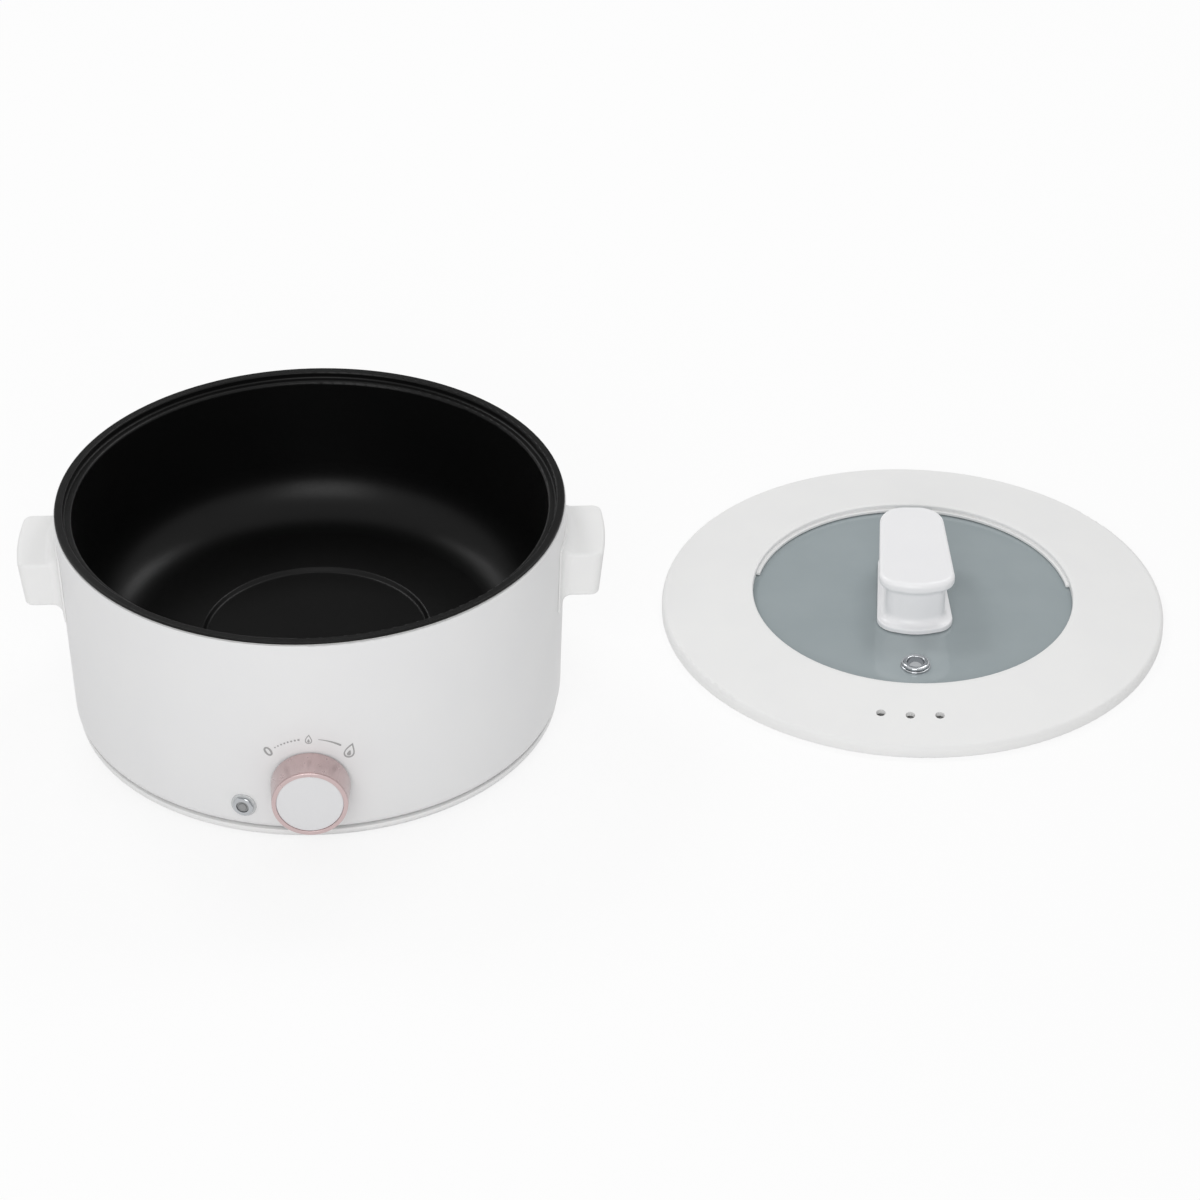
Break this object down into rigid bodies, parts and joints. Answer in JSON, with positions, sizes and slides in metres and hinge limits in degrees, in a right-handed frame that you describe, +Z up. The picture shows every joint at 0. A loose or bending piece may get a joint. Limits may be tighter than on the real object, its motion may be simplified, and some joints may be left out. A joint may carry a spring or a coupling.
{
  "type": "electric hot pot with lid",
  "caption": "Round electric hot pot with a deep coated pan, side handles, a front control knob and indicator, and a loose glass lid with a tapered grip.",
  "frame": {"origin": "on the surface that the pot stands on, under the middle of the pot; the lid lies on the same surface at +X", "axes": "+Z up, -Y out of the pot's front through the control knob, +X from the pot towards the lid"},
  "size_m": [0.6518, 0.3761, 0.133],
  "materials": {
    "shell_white": "satin white moulded heat-proof plastic",
    "pan_coating": "die-cast, with a satin black non-stick coating",
    "silicone_clear": "translucent silicone",
    "white_plastic": "fine matt moulded plastic",
    "white_gloss_plastic": "smooth white moulded plastic",
    "steel": "bright steel",
    "cast_aluminium": "as cast",
    "ceramic": "fired ceramic",
    "copper": "drawn copper",
    "brass": "plain brass",
    "chrome": "polished chrome",
    "dark_plastic": "black heat-proof moulding",
    "clear_plastic": "clear moulded plastic",
    "grey_lens": "grey translucent lens",
    "rose_gold": "rose gold metallic lacquer",
    "rubber": "pale grey rubber",
    "lead_red": "silicone insulation",
    "lead_blue": "silicone insulation",
    "lead_green": "silicone insulation",
    "glass": "toughened clear glass"
  },
  "bodies": {
    "pot": {"outer_shell": "shell_white", "cooking_pan": "pan_coating", "pan_seal": "silicone_clear", "base_cover": "white_plastic", "base_screws": "steel", "heater_tube": "steel", "heating_plate": "cast_aluminium", "heater_beads": "ceramic", "heat_shield": "steel", "sensor_bulb": "copper", "sensor_strap": "steel", "capillary_tube": "copper", "thermal_fuse": "ceramic", "fuse_strap": "steel", "thermostat_body": "dark_plastic", "bushing_nut": "steel", "terminal_blades": "brass", "indicator_collar": "clear_plastic", "indicator_bezel": "chrome", "indicator_lens": "grey_lens", "indicator_lamp": "clear_plastic", "left_handle": "white_plastic", "right_handle": "white_plastic", "handle_screws": "steel", "inlet_housing": "dark_plastic", "inlet_pins": "brass", "inlet_screws": "steel", "rubber_foot_1": "rubber", "rubber_foot_2": "rubber", "rubber_foot_3": "rubber", "rubber_foot_4": "rubber", "live_lead": "lead_red", "load_lead": "lead_red", "neutral_lead": "lead_blue", "earth_lead": "lead_green"},
    "control_knob": {"thermostat_spindle": "steel", "knob_ring": "rose_gold", "knob_hub": "dark_plastic", "knob_cap": "white_gloss_plastic", "hub_clip": "steel"},
    "lid": {"lid_ring": "white_plastic", "lid_glass": "glass", "lid_gasket": "silicone_clear", "lid_retainer": "white_plastic", "lid_retainer_screws": "steel", "vent_eyelet": "chrome", "vent_nut": "steel", "lid_handle": "white_gloss_plastic", "lid_handle_pad": "silicone_clear", "lid_handle_inserts": "brass", "lid_handle_washers": "steel", "lid_handle_screws": "steel"}
  },
  "joints": [
    {"name": "knob_turn", "type": "hinge", "parent": "pot", "child": "control_knob", "pos_m": [0, -0.1386, 0.04], "axis": [0, 1, 0], "range_deg": [0, 92]},
    {"name": "lid_lift", "type": "slide", "parent": "pot", "child": "lid", "axis": [0, 0, 1], "range_m": [0, 0.28]}
  ]
}
